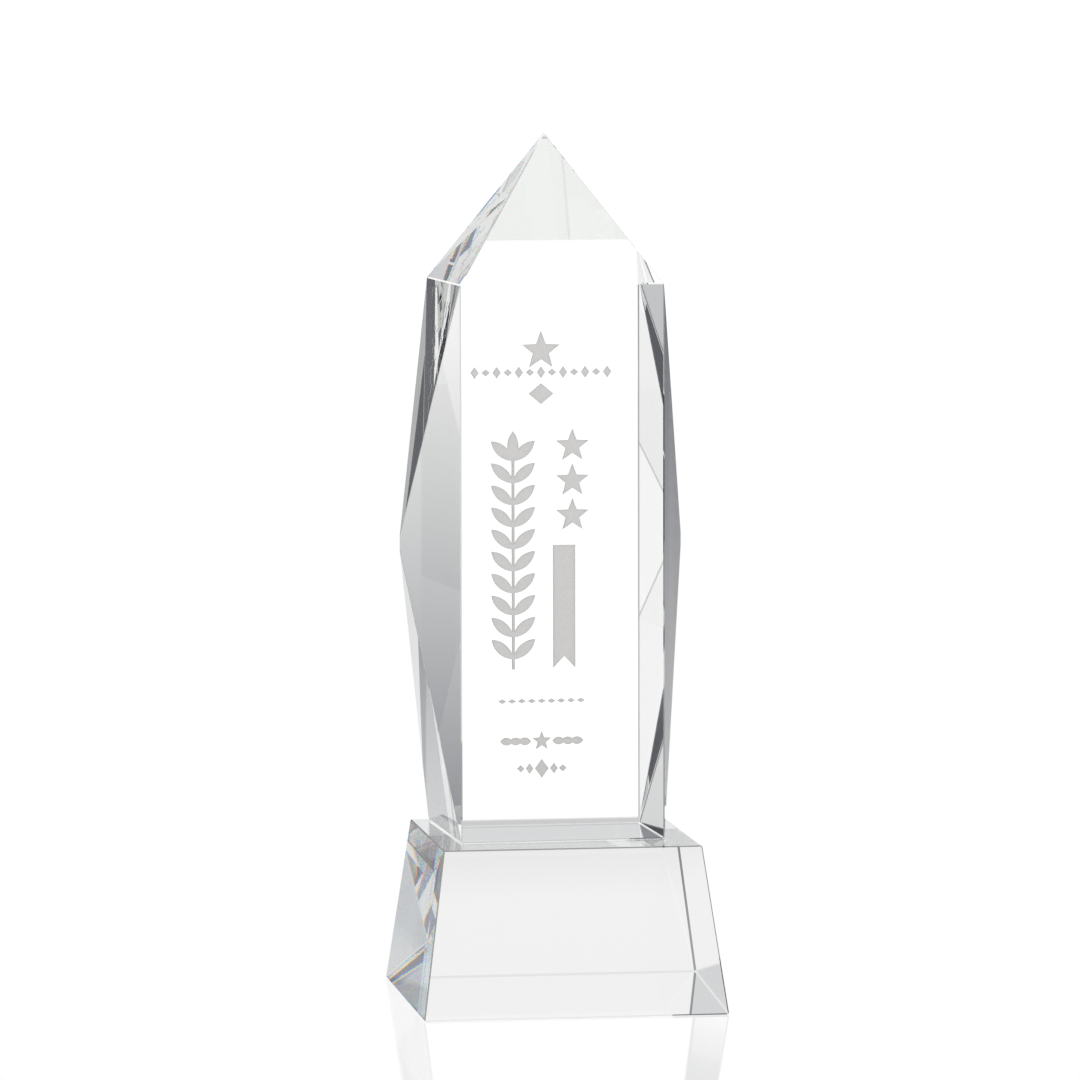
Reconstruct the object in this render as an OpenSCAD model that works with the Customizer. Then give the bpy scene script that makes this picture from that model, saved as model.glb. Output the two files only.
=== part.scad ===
// Crystal award: a faceted tower with a pyramid tip, bonded to a tapered block.
// Millimetres, +Z up, front towards -Y. The origin is on the surface the base stands on, under its centre.

/* [Base] */
// Width and depth of the base at its underside
base_bottom_w = 89; // [80:0.5:110]
// Width and depth of the base's top face
base_top_w = 75.5; // [70:0.5:79]
// Height of the base
base_h = 48.5; // [30:0.5:70]

/* [Tower] */
// Width of the tower's front and back faces
face_w = 60; // [48:0.5:66]
// Depth of the tower, front face to back face
tower_d = 58.5; // [45:0.5:62]
// Height of the tower's shoulder above its foot
shaft_h = 162; // [130:1:200]
// Height of the pyramid tip above the shoulder
tip_h = 43.35; // [20:0.05:70]
// Greatest width, over the point on each side
waist_w = 84.4; // [70:0.2:100]
// Height of the side points above the foot
waist_h = 84.8; // [60:0.2:100]
// Length of the short upright edge at each side point
waist_edge = 3.5; // [0.5:0.1:8]
// Distance of the side points behind the middle of the tower
waist_back = 6.4; // [-10:0.1:10]

/* [Placement] */
// Distance of the tower's axis behind the middle of the base
tower_back = 7.2; // [0:0.1:8]
// Distance of the tower's axis to the right of the middle of the base
tower_side = -1.6; // [-3:0.1:3]
// Turn of the tower on its base, counter-clockwise from above
tower_turn = 2; // [-3:0.5:3]

/* [Bond] */
// Thickness of the clear adhesive film under the tower
bond_t = 0.15; // [0.1:0.05:0.5]
// Distance of the film's edge inside the edge of the foot
bond_inset = 0.4; // [0.2:0.1:2]

/* [Edges] */
// Width of the narrow flat ground along every edge
arris_w = 0.5; // [0.2:0.05:1]

/* [Artwork] */
// Clear face between the shoulder and the top of the artwork
art_top = 13.4; // [5:0.1:30]
// Clear face between the foot and the bottom of the artwork
art_bottom = 18.4; // [5:0.1:30]
// Least clear face at either side of the artwork
art_side = 2.5; // [1:0.1:10]
// Distance of the artwork's centre line to the right of the middle of the face
art_shift = -6.3; // [-8:0.1:8]
// Depth of the sand-carved pockets
carve_depth = 0.5; // [0.2:0.05:1.5]
// Thickness of the grey fill on the floor of each pocket
fill_t = 0.3; // [0.1:0.05:1]
// Width of the swallow-tailed ribbon
ribbon_w = 6.5; // [4:0.1:8]
// Number of leaf pairs on the laurel sprig
leaf_pairs = 10; // [6:1:12]
// Number of stars in the right-hand column
star_count = 3; // [2:1:4]

/* [Hidden] */
$fn = 48;

tower_z = base_h + bond_t;
tower_h = shaft_h + tip_h;
crystal_colour = [0.86, 0.91, 0.90, 0.45];
film_colour = [0.80, 0.86, 0.84, 0.6];
fill_colour = [0.78, 0.78, 0.77];
// Larger than the award in every direction
reach = 2 * (base_bottom_w + base_h + tower_h);

// ---- Cut stones: every solid of crystal is a block with one flat per facet and one per edge ----

function unit(v) = v / norm(v);

// A facet is [outward unit normal, distance from the origin]: the plane through three points,
// facing away from the point inside
function facet(inside, a, b, c) =
    let (n = unit(cross(b - a, c - a)), side = n * (a - inside) > 0 ? 1 : -1)
    [side * n, side * (n * a)];

// The flat along the edge where two facets meet, square to the line that halves the edge
function arris(p, q) =
    let (sum = norm(p[0] + q[0]), gap = norm(p[0] - q[0]))
    [unit(p[0] + q[0]), (p[1] + q[1]) / sum - arris_w / 2 * gap / sum];

// Everything on the inner side of a facet
module behind(plane)
    translate(plane[0] * plane[1])
        rotate([0, acos(plane[0][2]), atan2(plane[0][1], plane[0][0])])
            translate([-reach, -reach, -2 * reach])
                cube(2 * reach);

// The convex solid inside all facets, with a flat along each edge, given as a pair of facets
module cut_stone(facets, edges)
    intersection_for (plane = concat(facets, [for (e = edges) arris(e[0], e[1])]))
        behind(plane);

// ---- Base ----

module crystal_base() {
    b = base_bottom_w / 2;
    t = base_top_w / 2;
    inside = [0, 0, base_h / 2];
    under = [[0, 0, -1], 0];
    top = [[0, 0, 1], base_h];
    slopes = [for (turn = [[1, 0], [0, 1], [-1, 0], [0, -1]])
        let (across = [-turn[1], turn[0], 0], out = [turn[0], turn[1], 0], up = [0, 0, base_h])
        facet(inside, out * b, out * b + across, out * t + up)];
    edges = [for (i = [0:3]) each [[slopes[i], top], [slopes[i], under], [slopes[i], slopes[(i + 1) % 4]]]];
    color(crystal_colour) cut_stone(concat([under, top], slopes), edges);
}

// ---- Tower, drawn about its own axis with its foot at height 0 ----

module tower_stone() {
    w = face_w / 2;
    d = tower_d / 2;
    inside = [0, 0, waist_h];
    tip = [0, 0, tower_h];
    foot = [[0, 0, -1], 0];
    front = [[0, -1, 0], d];
    back = [[0, 1, 0], d];
    // For each side, left then right: front flank, back flank, upper flank, lower flank, pyramid face
    sides = [for (s = [-1, 1])
        let (point = [s * waist_w / 2, waist_back, waist_h], up = [0, 0, waist_edge / 2], along = [0, 1, 0])
        [facet(inside, [s * w, -d, 0], [s * w, -d, shaft_h], point),
         facet(inside, [s * w, d, 0], [s * w, d, shaft_h], point),
         facet(inside, [s * w, 0, shaft_h], [s * w, 0, shaft_h] + along, point + up),
         facet(inside, [s * w, 0, 0], [s * w, 0, 0] + along, point - up),
         facet(inside, [s * w, 0, shaft_h], [s * w, 0, shaft_h] + along, tip)]];
    roof_front = facet(inside, [0, -d, shaft_h], [1, -d, shaft_h], tip);
    roof_back = facet(inside, [0, d, shaft_h], [1, d, shaft_h], tip);
    flank_edges = [for (f = sides) each
        [[front, f[0]], [back, f[1]], [f[0], f[1]], [f[0], f[2]], [f[0], f[3]], [f[1], f[2]], [f[1], f[3]]]];
    roof_edges = [for (f = sides) each [[f[2], f[4]], [roof_front, f[4]], [roof_back, f[4]]]];
    foot_edges = [for (f = sides) [f[3], foot]];
    end_edges = [[front, roof_front], [back, roof_back], [front, foot], [back, foot]];
    cut_stone(concat([foot, front, back, roof_front, roof_back], sides[0], sides[1]),
              concat(flank_edges, roof_edges, foot_edges, end_edges));
}

// Puts what is drawn about the tower's axis on the base
module on_base()
    translate([tower_side, tower_back, tower_z])
        rotate(tower_turn)
            children();

module crystal_tower()
    color(crystal_colour)
        on_base()
            difference() {
                tower_stone();
                on_face(carve_depth, 2 * carve_depth) {
                    emblem_2d();
                    heading_2d();
                    laurel_2d();
                    stars_2d();
                    ribbon_2d();
                    rule_2d();
                    dedication_2d();
                }
            }

// Clear film between the tower's foot and the top of the base
module bond_film() {
    margin = arris_w + bond_inset;
    color(film_colour)
        translate([tower_side, tower_back, base_h])
            rotate(tower_turn)
                linear_extrude(bond_t)
                    square([face_w - 2 * margin, tower_d - 2 * margin], center = true);
}

// ---- Artwork: plain ornaments, laid out on a panel of fixed proportions and scaled to the face ----

// Size of the panel that the ornaments below are laid out on, with its origin at the middle of its foot
panel_w = 42;
panel_h = 130.2;
art_scale = min((shaft_h - art_top - art_bottom) / panel_h,
                (face_w - 2 * (art_side + abs(art_shift))) / panel_w);

// Extrudes artwork on the front face, from a depth below the face towards the front
module on_face(depth, thickness)
    translate([art_shift, depth - tower_d / 2, art_bottom])
        rotate([90, 0, 0])
            linear_extrude(thickness)
                scale(art_scale)
                    children();

// One field of grey fill, seated on the floor of its pocket
module fill()
    color(fill_colour)
        on_base()
            on_face(carve_depth, fill_t)
                children();

module star_2d(r) {
    waist = 0.42;
    polygon([for (i = [0:9]) (i % 2 == 0 ? r : waist * r) * [sin(36 * i), cos(36 * i)]]);
}

module lozenge_2d(w, h)
    polygon([[0, h / 2], [w / 2, 0], [0, -h / 2], [-w / 2, 0]]);

// A pointed leaf that grows up from the origin, bounded by two arcs
module leaf_2d(length, width) {
    r = (length * length + width * width) / (4 * width);
    intersection_for (s = [-1, 1])
        translate([s * (r - width / 2), length / 2])
            circle(r);
}

// The emblem's star reaches the top of the panel, its lozenge hangs below, and the heading runs between them
emblem_r = 5.8;
emblem_y = panel_h - emblem_r;
emblem_drop = 12.4;

module emblem_2d() {
    translate([0, emblem_y]) star_2d(emblem_r);
    translate([0, emblem_y - emblem_drop]) lozenge_2d(7.2, 6);
}

module heading_2d() {
    pitch = 3.25;
    each_side = 6;
    for (i = [-each_side:each_side])
        translate([pitch * i, emblem_y - emblem_drop / 2]) lozenge_2d(2.4, i % 2 == 0 ? 3.4 : 2);
}

// A stem with pairs of leaves and one leaf at its top
module laurel_2d()
    translate([-8.3, 32]) {
        stem_w = 0.8;
        leaf_l = 8.6;
        leaf_w = 3.2;
        splay = 48;
        first = 3;
        last = 60.6;
        pitch = (last - first) / (leaf_pairs - 1);
        translate([-stem_w / 2, 0]) square([stem_w, last + 2]);
        translate([0, last]) leaf_2d(leaf_l, leaf_w);
        for (i = [0:leaf_pairs - 1], s = [-1, 1])
            translate([0, first + pitch * i]) rotate(s * splay) leaf_2d(leaf_l, leaf_w);
    }

// Stars that share out the height of the column
module stars_2d() {
    lowest = 76.6;
    span = 20.2;
    r = 15 / star_count;
    for (i = [0:star_count - 1])
        translate([9.2, lowest + i * span / (star_count - 1)]) star_2d(r);
}

module ribbon_2d()
    translate([6.7, 32.3]) {
        h = 35.7;
        notch = 3.4;
        polygon([[-ribbon_w / 2, h], [ribbon_w / 2, h], [ribbon_w / 2, 0], [0, notch], [-ribbon_w / 2, 0]]);
    }

module rule_2d() {
    pitch = 2.9;
    each_side = 4;
    for (i = [-each_side:each_side])
        translate([pitch * i, 22.7]) lozenge_2d(2.3, 1.3);
}

// A star between two rows of leaves, above a row of lozenges
module dedication_2d() {
    upper = 11;
    lower = 3;
    leaf_pitch = 2.7;
    lozenge_pitch = 2.6;
    translate([0, upper]) {
        star_2d(2.9);
        for (s = [-1, 1], i = [0:2])
            translate([s * (3.2 + leaf_pitch * i), 0]) rotate(-90 * s) leaf_2d(3.6, 2.2);
    }
    translate([0, lower]) {
        lozenge_2d(4, 5.4);
        for (s = [-1, 1], i = [0:1])
            translate([s * (3.6 + lozenge_pitch * i), 0]) lozenge_2d(2.2, 3 - i);
    }
}

module emblem_fill() fill() emblem_2d();
module heading_fill() fill() heading_2d();
module laurel_fill() fill() laurel_2d();
module stars_fill() fill() stars_2d();
module ribbon_fill() fill() ribbon_2d();
module rule_fill() fill() rule_2d();
module dedication_fill() fill() dedication_2d();

crystal_base();
bond_film();
crystal_tower();
emblem_fill();
heading_fill();
laurel_fill();
stars_fill();
ribbon_fill();
rule_fill();
dedication_fill();
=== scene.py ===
import bpy
import math
from mathutils import Matrix, Vector

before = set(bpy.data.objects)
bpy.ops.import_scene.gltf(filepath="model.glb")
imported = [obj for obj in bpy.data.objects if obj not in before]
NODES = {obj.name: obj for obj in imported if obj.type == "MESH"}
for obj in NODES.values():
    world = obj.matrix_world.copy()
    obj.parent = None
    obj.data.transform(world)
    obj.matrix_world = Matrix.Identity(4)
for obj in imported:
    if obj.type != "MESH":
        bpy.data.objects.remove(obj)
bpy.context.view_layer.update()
FILLS = [n for n in NODES if n.endswith("_fill")]

# Metres and degrees, in the frame's own axes: the award stands on z = 0 and its front looks towards -Y
IOR = 1.52
BOND_IOR = 1.015  # crystal against the adhesive that wets it
TINT = (0.99, 0.996, 0.987, 1)
SPREAD = 0.007  # how far red bends from green; blue bends 1.4 times as far the other way
TOWER_TURN = math.radians(2)
FLAT_WIDTH = 0.0009  # every flat ground along an edge is narrower than this
CLEARANCE = 0.00002  # between the crystal and the film or fill that touches it
SAME_LEVEL = 1e-6


class Tree:
    """A short way to write a node tree."""

    def __init__(self, owner):
        owner.use_nodes = True
        self.nodes, self.links = owner.node_tree.nodes, owner.node_tree.links
        self.nodes.clear()

    def add(self, kind, settings=None, **sockets):
        """Adds a node. Sockets go by name with _ for a space, or by number as i0, i1 and so on."""
        n = self.nodes.new(kind)
        for k, v in (settings or {}).items():
            setattr(n, k, v)
        for k, v in sockets.items():
            self.put(n.inputs[int(k[1:]) if k[0] == "i" and k[1:].isdigit() else k.replace("_", " ")], v)
        return n

    def put(self, socket, v):
        if isinstance(v, bpy.types.Node):
            v = v.outputs[0]
        if isinstance(v, bpy.types.NodeSocket):
            self.links.new(v, socket)
        else:
            socket.default_value = v

    def math(self, op, a, b=0.0, clamp=False):
        return self.add("ShaderNodeMath", {"operation": op, "use_clamp": clamp}, i0=a, i1=b)

    def all_of(self, first, *rest):
        for r in rest:
            first = self.math("MULTIPLY", first, r)
        return first

    def ramp(self, v, stops):
        n = self.add("ShaderNodeValToRGB", i0=v)
        e = n.color_ramp.elements
        while len(e) < len(stops):
            e.new(0.5)
        for i, (at, level) in enumerate(stops):
            e[i].position = at
            c = level if isinstance(level, tuple) else (level, level, level)
            e[i].color = (*c, 1)
        return n

    def map(self, v, a, b, c, d):
        """Takes the range a to b onto c to d, and holds the ends beyond it."""
        n = self.add("ShaderNodeMapRange", Value=v)
        for k, x in (("From Min", a), ("From Max", b), ("To Min", c), ("To Max", d)):
            n.inputs[k].default_value = x
        return n

    def mix(self, f, a, b):
        return self.add("ShaderNodeMix", i0=f, i2=a, i3=b)


def material(name):
    mat = bpy.data.materials.new(name)
    return mat, Tree(mat)


# ---- Crystal ----

def glass(t, ior=IOR, spread=0.0):
    """Clear crystal. With a spread, red, green and blue light each bend by their own amount on the way in."""
    p = t.add("ShaderNodeBsdfPrincipled", Base_Color=TINT, Transmission_Weight=1.0, IOR=ior, Roughness=0.0)
    if not spread:
        return p
    parts = [t.add("ShaderNodeBsdfGlass", Color=(*colour, 1), IOR=ior + step * spread, Roughness=0.0)
             for colour, step in (((1, 0, 0), -1), ((0, 1, 0), 0), ((0, 0, 1), 1.4))]
    red_green = t.add("ShaderNodeAddShader", i0=parts[0], i1=parts[1])
    split = t.add("ShaderNodeAddShader", i0=red_green, i1=parts[2])
    eye = t.add("ShaderNodeLightPath").outputs["Is Camera Ray"]
    return t.add("ShaderNodeMixShader", i0=eye, i1=p, i2=split)


def crystal(name, ior=IOR, spread=0.0):
    mat, t = material(name)
    t.add("ShaderNodeOutputMaterial", Surface=glass(t, ior, spread))
    return mat


def ground_edge(name, tone):
    """A narrow flat ground along an edge: light goes straight through it, dimmed by painted shade in its
    tone.
    """
    mat, t = material(name)
    p = t.add("ShaderNodeBsdfPrincipled", Base_Color=(tone, tone * 1.01, tone * 1.015, 1),
              Transmission_Weight=1.0, IOR=1.0, Roughness=0.0)
    t.add("ShaderNodeOutputMaterial", Surface=p)
    return mat


def base_top():
    """The base's top face: optically bonded where the film lies, polished crystal around it."""
    corners = [v.co for v in NODES["bond_film"].data.vertices]
    mid = sum(corners, Vector()) / len(corners)
    local = [Matrix.Rotation(-TOWER_TURN, 3, "Z") @ (c - mid) for c in corners]
    half_x, half_y = max(abs(c.x) for c in local), max(abs(c.y) for c in local)
    mat, t = material("base_top_crystal")
    place = t.add("ShaderNodeMapping", {"vector_type": "TEXTURE"},
                  Vector=t.add("ShaderNodeTexCoord").outputs["Object"])
    place.inputs["Location"].default_value = mid
    place.inputs["Rotation"].default_value = (0, 0, TOWER_TURN)
    at = t.add("ShaderNodeSeparateXYZ", Vector=place).outputs
    past_x = t.math("SUBTRACT", t.math("ABSOLUTE", at["X"]), half_x)
    past_y = t.math("SUBTRACT", t.math("ABSOLUTE", at["Y"]), half_y)
    bonded = t.math("LESS_THAN", t.math("MAXIMUM", past_x, past_y), 0.0)
    both = t.add("ShaderNodeMixShader", i0=bonded, i1=glass(t), i2=glass(t, BOND_IOR))
    t.add("ShaderNodeOutputMaterial", Surface=both)
    return mat


# ---- Slots: which faces of a node have which material ----

def slots(node, **mats):
    """Fills a node's slots in order. Returns its mesh and the number of each slot by its keyword."""
    mesh = NODES[node].data
    mesh.materials.clear()
    for m in mats.values():
        mesh.materials.append(m)
    return mesh, {key: i for i, key in enumerate(mats)}


def set_slot(faces, index):
    for p in faces:
        p.material_index = index


def faces_at(mesh, z):
    """The faces that lie flat at a height."""
    return [p for p in mesh.polygons
            if all(abs(mesh.vertices[i].co.z - z) < SAME_LEVEL for i in p.vertices)]


def edge_flats(mesh):
    """The narrow flats ground along the edges, each a list of faces. Triangles in one plane are one flat."""
    planes = {}
    for p in mesh.polygons:
        at = p.normal.dot(mesh.vertices[p.vertices[0]].co)
        planes.setdefault((*(round(v, 3) for v in p.normal), round(at * 5000)), []).append(p)
    flats = []
    for faces in planes.values():
        pts = [mesh.vertices[i].co for p in faces for i in p.vertices]
        longest = max((a - b).length for a in pts for b in (pts[0], pts[-1]))
        if sum(p.area for p in faces) < FLAT_WIDTH * longest:
            flats.append(faces)
    return flats


def tower_edge(n, mid, foot_z):
    """The slot of a flat on the tower, from its normal and middle. Those at the back and right are clear."""
    upright = abs(n.z) < 0.2 and mid.y < (0.01 if mid.x < 0 else -0.015)
    if upright or (abs(n.y) > 0.5 and mid.z < foot_z + 0.001):
        return "long_edges"
    if abs(n.x) < 0.1 and n.z > 0.1:  # the front and back of the shoulder
        return "body" if n.y < 0 else "edges"
    clear = n.y > 0.2 or (n.x > 0.5 and abs(n.z) < 0.3)
    return "body" if clear else "edges"


# The tower's edge flats carry painted shade: a tone of 0.8, and of 0.4 on the long edges.
mesh, slot = slots("crystal_tower", body=crystal("tower_crystal"), foot=crystal("tower_foot", BOND_IOR),
                   edges=ground_edge("tower_edges", 0.8), prism=crystal("tower_prism", spread=SPREAD / 3),
                   long_edges=ground_edge("tower_long_edges", 0.4))
foot_z = min(v.co.z for v in mesh.vertices)
tip_sides = [p for p in mesh.polygons if abs(p.normal.x) > 0.5 and p.normal.z > 0.3]
set_slot(tip_sides, slot["prism"])
for flat in edge_flats(mesh):
    mid = sum((p.center for p in flat), Vector()) / len(flat)
    set_slot(flat, slot[tower_edge(flat[0].normal, mid, foot_z)])
set_slot(faces_at(mesh, foot_z), slot["foot"])

# The base's edge flats carry painted shade: a tone of 0.14, and of 0.75 along the foot.
mesh, slot = slots("crystal_base", body=crystal("base_crystal"), top=base_top(),
                   edges=ground_edge("base_edges", 0.14), foot_edges=ground_edge("base_foot_edges", 0.75),
                   prism=crystal("base_prism", spread=SPREAD))
set_slot([p for p in mesh.polygons if abs(p.normal.x) > 0.5], slot["prism"])
for flat in edge_flats(mesh):
    at_foot = max(mesh.vertices[i].co.z for p in flat for i in p.vertices) < 0.002
    set_slot(flat, slot["foot_edges" if at_foot else "edges"])
set_slot(faces_at(mesh, max(v.co.z for v in mesh.vertices)), slot["top"])

slots("bond_film", body=crystal("bond_clear", 1.0))

mat, t = material("etch_fill")
where = t.add("ShaderNodeTexCoord").outputs["Object"]
grain = t.add("ShaderNodeTexNoise", Vector=where, Scale=2600.0, Detail=3.0)
tone = t.ramp(grain, [(0.25, (0.60, 0.584, 0.552)), (0.75, (0.69, 0.672, 0.637))])
bump = t.add("ShaderNodeBump", Strength=0.2, Distance=0.0002, Height=grain)
p = t.add("ShaderNodeBsdfPrincipled", Base_Color=tone, Roughness=0.8, Normal=bump)
t.add("ShaderNodeOutputMaterial", Surface=p)
for n in FILLS:
    slots(n, body=mat)

for n in ["bond_film", *FILLS]:  # clearance, so that no two surfaces coincide
    shrink = NODES[n].modifiers.new("clearance", "DISPLACE")
    shrink.strength = -CLEARANCE
    shrink.mid_level = 0.0

# ---- Floor: a plain pale sheet. The camera sees it evenly white and a little glossy. Through the crystal, a
# ---- rectangle of it glows with painted light and painted shade, in zones that stand for table, cards and
# ---- shadows. Beyond it, the studio shows.

FLOOR_HALF, FLOOR_Z = 3.0, -0.0001
GLOW_X, GLOW_Y = (-0.07, 0.35), (-0.175, 0.445)
GLOW_FADE = 0.004
PAINTED_GLOW_LEVEL = 1.35
me = bpy.data.meshes.new("floor")
corners = [(x * FLOOR_HALF, y * FLOOR_HALF, FLOOR_Z) for x, y in ((-1, -1), (1, -1), (1, 1), (-1, 1))]
me.from_pydata(corners, [], [(0, 1, 2, 3)])
floor = bpy.data.objects.new("floor", me)
bpy.context.scene.collection.objects.link(floor)
mat, t = material("floor")
me.materials.append(mat)
at = t.add("ShaderNodeSeparateXYZ", Vector=t.add("ShaderNodeNewGeometry")).outputs
x, y = at["X"], at["Y"]
eye_ray = t.add("ShaderNodeLightPath").outputs["Is Camera Ray"]


def past(a, b, limit):
    """1 where a x + b y is greater than the limit, else 0"""
    return t.math("GREATER_THAN", t.math("ADD", t.math("MULTIPLY", x, a), t.math("MULTIPLY", y, b)), limit)


# Painted light: the level that the sheet glows at through the crystal, from front to back.
lit = t.ramp(t.map(y, -0.2, 0.5, 0.0, 1.0),
             [(0.0, 0.52), (0.02, 1.0), (0.1, 1.0), (0.13, 0.69), (0.457, 0.69), (0.72, 0.46)])
lit = t.math("MULTIPLY", lit, PAINTED_GLOW_LEVEL)
# Painted shade: between x = -0.09 and -0.042 the glow drops to 0.43 of its level in front of y = 0.04, and to
# 0.74 behind y = 0.06.
painted_shade_left = t.all_of(past(-1, 0, 0.042), past(1, 0, -0.09))
lit = t.mix(painted_shade_left, lit, t.math("MULTIPLY", lit, t.map(y, 0.04, 0.06, 0.43, 0.74)))
# Painted shadow: a narrow strip right of the base glows at only 0.08, standing in for the base's shadow.
painted_shadow_strip = t.all_of(past(1, 0, 0.06), past(-1, 0, -0.14), past(0, 1, 0.0235), past(0, -1, -0.036))
lit = t.mix(painted_shadow_strip, lit, 0.08)
# Painted shade: in front of the base a wedge of the sheet glows at only 0.03.
painted_shade_front = t.all_of(past(0, -1, 0.11), past(-1, -0.364, -0.0589))
lit = t.mix(painted_shade_front, lit, 0.03)
# Painted light: two patches of the sheet that stand for bright cards. The left one glows at the full level,
# 1.35, and both glow outside the rectangle too.
painted_light_right_card = t.all_of(past(1, 0, 0.3), past(0, -1, 0.3), past(-0.788, -0.616, -0.0225))
painted_light_left_card = t.all_of(past(-1, 0, 0.11), past(0, 1, 0.1), past(0, -1, -0.3), past(-0.8525, -0.5227, 0.0415))
lit = t.mix(painted_light_left_card, lit, PAINTED_GLOW_LEVEL)
# To the camera the sheet glows an even 1.08; to all other rays it shows the painted light and shade above.
glow = t.add("ShaderNodeEmission", Color=(1, 1, 1, 1), Strength=t.mix(eye_ray, lit, 1.08))
gloss = t.add("ShaderNodeBsdfGlossy", Roughness=0.06)
sheet = t.add("ShaderNodeMixShader", i0=t.mix(eye_ray, 0.0, 0.32), i1=glow, i2=gloss)
cut = 0.0
for axis, (lo, hi) in ((x, GLOW_X), (y, GLOW_Y)):
    cut = t.math("MAXIMUM", cut, t.map(axis, lo + GLOW_FADE, lo - GLOW_FADE, 0.0, 1.0))
    cut = t.math("MAXIMUM", cut, t.map(axis, hi - GLOW_FADE, hi + GLOW_FADE, 0.0, 1.0))
shown = t.math("MAXIMUM", eye_ray, t.math("MAXIMUM", painted_light_right_card, painted_light_left_card))
cut = t.math("SUBTRACT", cut, shown, True)
clear = t.add("ShaderNodeBsdfTransparent")
t.add("ShaderNodeOutputMaterial", Surface=t.add("ShaderNodeMixShader", i0=cut, i1=sheet, i2=clear))

# ---- Studio: white for the camera and for plain surfaces; round the crystal a lit backdrop, panels and gaps.
# ---- Each band lists (degrees clockwise from straight behind, brightness), from the lowest to the highest.
# ---- Between bands the levels blend over the heights in BLENDS, in degrees above the horizon.

BANDS = [
    [(-180, 0.3), (-149, 0.05), (-142, 0.9), (-100, 0.9), (-70, 0.15), (-36, 0.17), (-20, 0.5), (-9, 1.05),
     (0, 1.1), (17, 1.1), (24, 0.8), (45, 0.5), (61, 0.4), (95, 0.7), (125, 0.5), (136, 0.17), (146, 0.17),
     (150, 0.85), (165, 0.5), (180, 0.3)],
    [(-180, 0.4), (-165, 0.3), (-150, 0.06), (-142, 0.1), (-137, 0.95), (-120, 0.97), (-95, 0.9), (-75, 0.1),
     (-45, 0.08), (-28, 0.3), (-16, 0.55), (-8, 0.58), (0, 1.15), (17, 1.15), (30, 0.8), (45, 0.5),
     (61, 0.22), (100, 0.5), (139, 0.6), (150, 0.6), (180, 0.4)],
    [(-180, 0.4), (-165, 0.3), (-150, 0.06), (-142, 0.1), (-137, 0.95), (-120, 0.97), (-95, 0.9), (-75, 0.1),
     (-45, 0.08), (-28, 0.3), (-16, 0.72), (-13, 0.72), (-10.5, 0.4), (-7.5, 0.4), (-5, 0.8), (0, 1.15),
     (17, 1.15), (24, 0.3), (30, 0.1), (45, 0.7), (61, 1.0), (100, 0.5), (139, 0.7), (150, 0.55), (180, 0.4)],
    [(-180, 0.3), (-150, 0.1), (-146, 0.25), (-137, 0.95), (-120, 0.97), (-95, 0.9), (-75, 0.2), (-45, 0.1),
     (-28, 0.15), (-16, 0.06), (-11, 0.06), (-7.5, 0.2), (-5, 0.6), (0, 1.15), (17, 1.15), (24, 0.3),
     (45, 0.7), (61, 0.95), (100, 0.95), (141, 0.94), (150, 0.4), (180, 0.3)],
    [(-180, 0.3), (-150, 0.1), (-141, 0.6), (-135, 0.97), (-95, 0.9), (-75, 0.2), (-45, 0.1), (-28, 0.4),
     (-13, 0.7), (0, 0.72), (17, 0.72), (24, 0.62), (45, 0.7), (61, 0.95), (141, 0.94), (150, 0.4),
     (180, 0.3)],
    [(-180, 0.4), (-150, 0.3), (-135, 0.9), (-100, 0.9), (-75, 0.3), (-45, 0.2), (-20, 0.25), (-9, 0.27),
     (-7, 0.65), (-4, 0.8), (2, 0.93), (14, 0.93), (24, 0.6), (61, 0.3), (90, 0.3), (130, 0.9), (163, 0.95),
     (169, 0.5), (173, 0.4), (180, 0.4)],
    [(-180, 0.3), (-149, 0.3), (-90, 0.2), (-48, 0.15), (-27, 0.2), (0, 0.5), (23, 1.0), (60, 0.2),
     (83, 0.05), (110, 0.2), (140, 0.6), (165, 0.45), (180, 0.4)],
]
BLENDS = [(-10, -8), (-7.2, -2.9), (-2.8, -1.6), (4.2, 5.0), (7.4, 8.2), (18, 32)]
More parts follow.
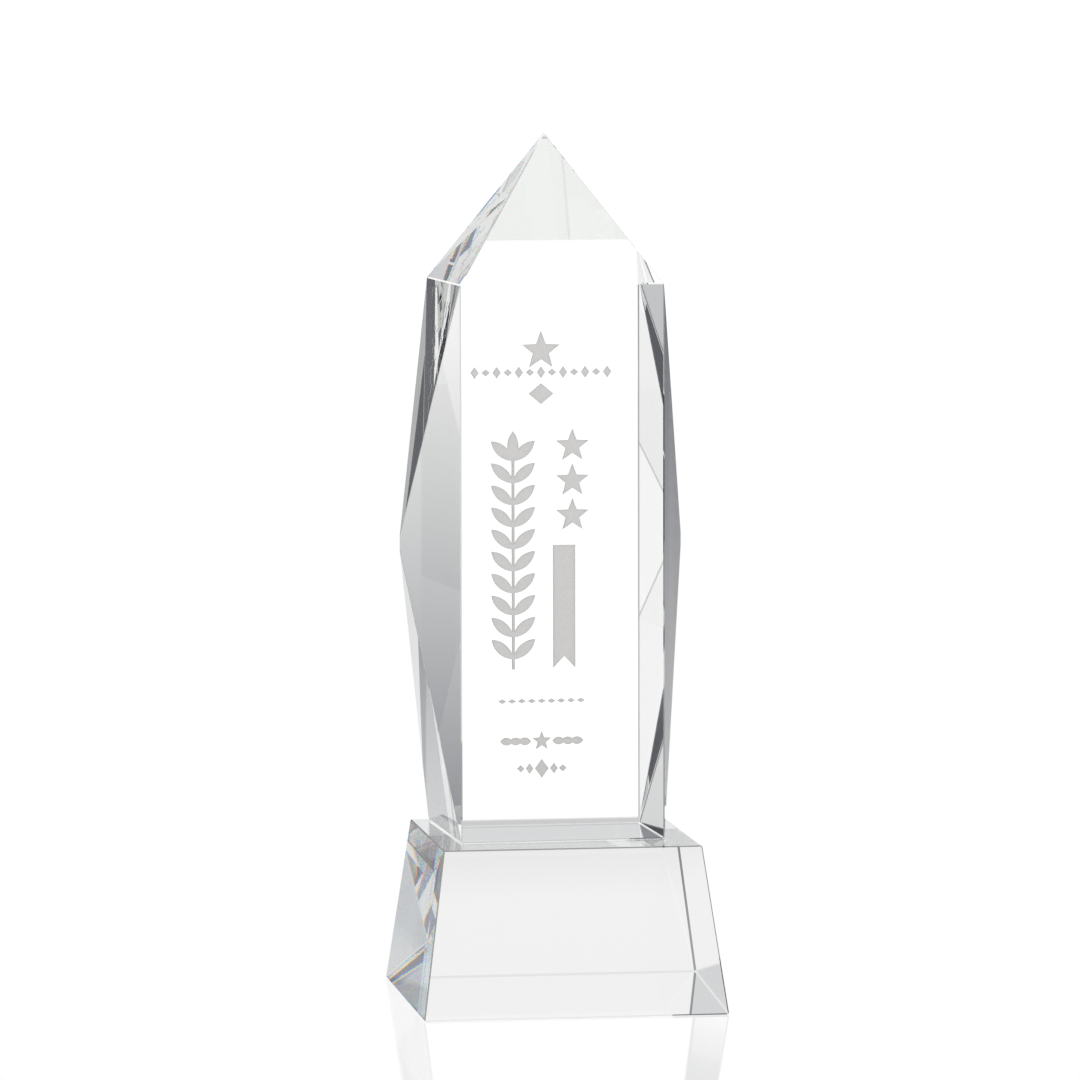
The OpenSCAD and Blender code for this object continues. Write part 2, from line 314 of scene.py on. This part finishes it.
PEAK = 1.2  # a colour ramp holds levels up to 1, so they are stored as shares of this
world = bpy.data.worlds.new("studio")
bpy.context.scene.world = world
t = Tree(world)
at = t.add("ShaderNodeSeparateXYZ", Vector=t.add("ShaderNodeTexCoord").outputs["Generated"]).outputs
around = t.map(t.math("ARCTAN2", at["X"], at["Y"]), -math.pi, math.pi, 0.0, 1.0)
levels = [t.ramp(around, [((a + 180) / 360, v / PEAK) for a, v in band]) for band in BANDS]
level = levels[0]
for upper, (lo, hi) in zip(levels[1:], BLENDS):
    blend = t.map(at["Z"], math.sin(math.radians(lo)), math.sin(math.radians(hi)), 0.0, 1.0)
    level = t.mix(blend, level, upper)
level = t.math("MULTIPLY", level, PEAK)
tone = t.ramp(level, [(0.0, (0.90, 0.95, 1.07)), (0.6, (0.985, 0.99, 1.01)), (0.95, (1, 1, 1))])
path = t.add("ShaderNodeLightPath").outputs
blurred = t.math("SUBTRACT", path["Is Glossy Ray"], path["Is Singular Ray"], True)
plain = t.math("MAXIMUM", path["Is Camera Ray"], t.math("MAXIMUM", path["Is Diffuse Ray"], blurred))
bg = t.add("ShaderNodeBackground", Color=tone, Strength=t.mix(plain, level, 1.05))
t.add("ShaderNodeOutputWorld", Surface=bg)

# ---- Camera, at the photograph's viewing angle ----

EYE = (-0.2926, -1.959, 0.2955)
HEADING, TILT, ROLL = (math.radians(v) for v in (-8.38, 90 - 4.64, -0.12))
cam = bpy.data.cameras.new("camera")
cam.lens = 226.0
cam.sensor_width = 36
cam.clip_end = 50
camera = bpy.data.objects.new("camera", cam)
bpy.context.scene.collection.objects.link(camera)
aim = Matrix.Rotation(HEADING, 4, "Z") @ Matrix.Rotation(TILT, 4, "X") @ Matrix.Rotation(ROLL, 4, "Z")
camera.matrix_world = Matrix.Translation(EYE) @ aim
bpy.context.scene.camera = camera
scene = bpy.context.scene
scene.view_settings.view_transform = "Standard"
c = scene.cycles
c.max_bounces = 32
c.transmission_bounces = 32
c.glossy_bounces = 16
c.transparent_max_bounces = 32
c.use_denoising = True
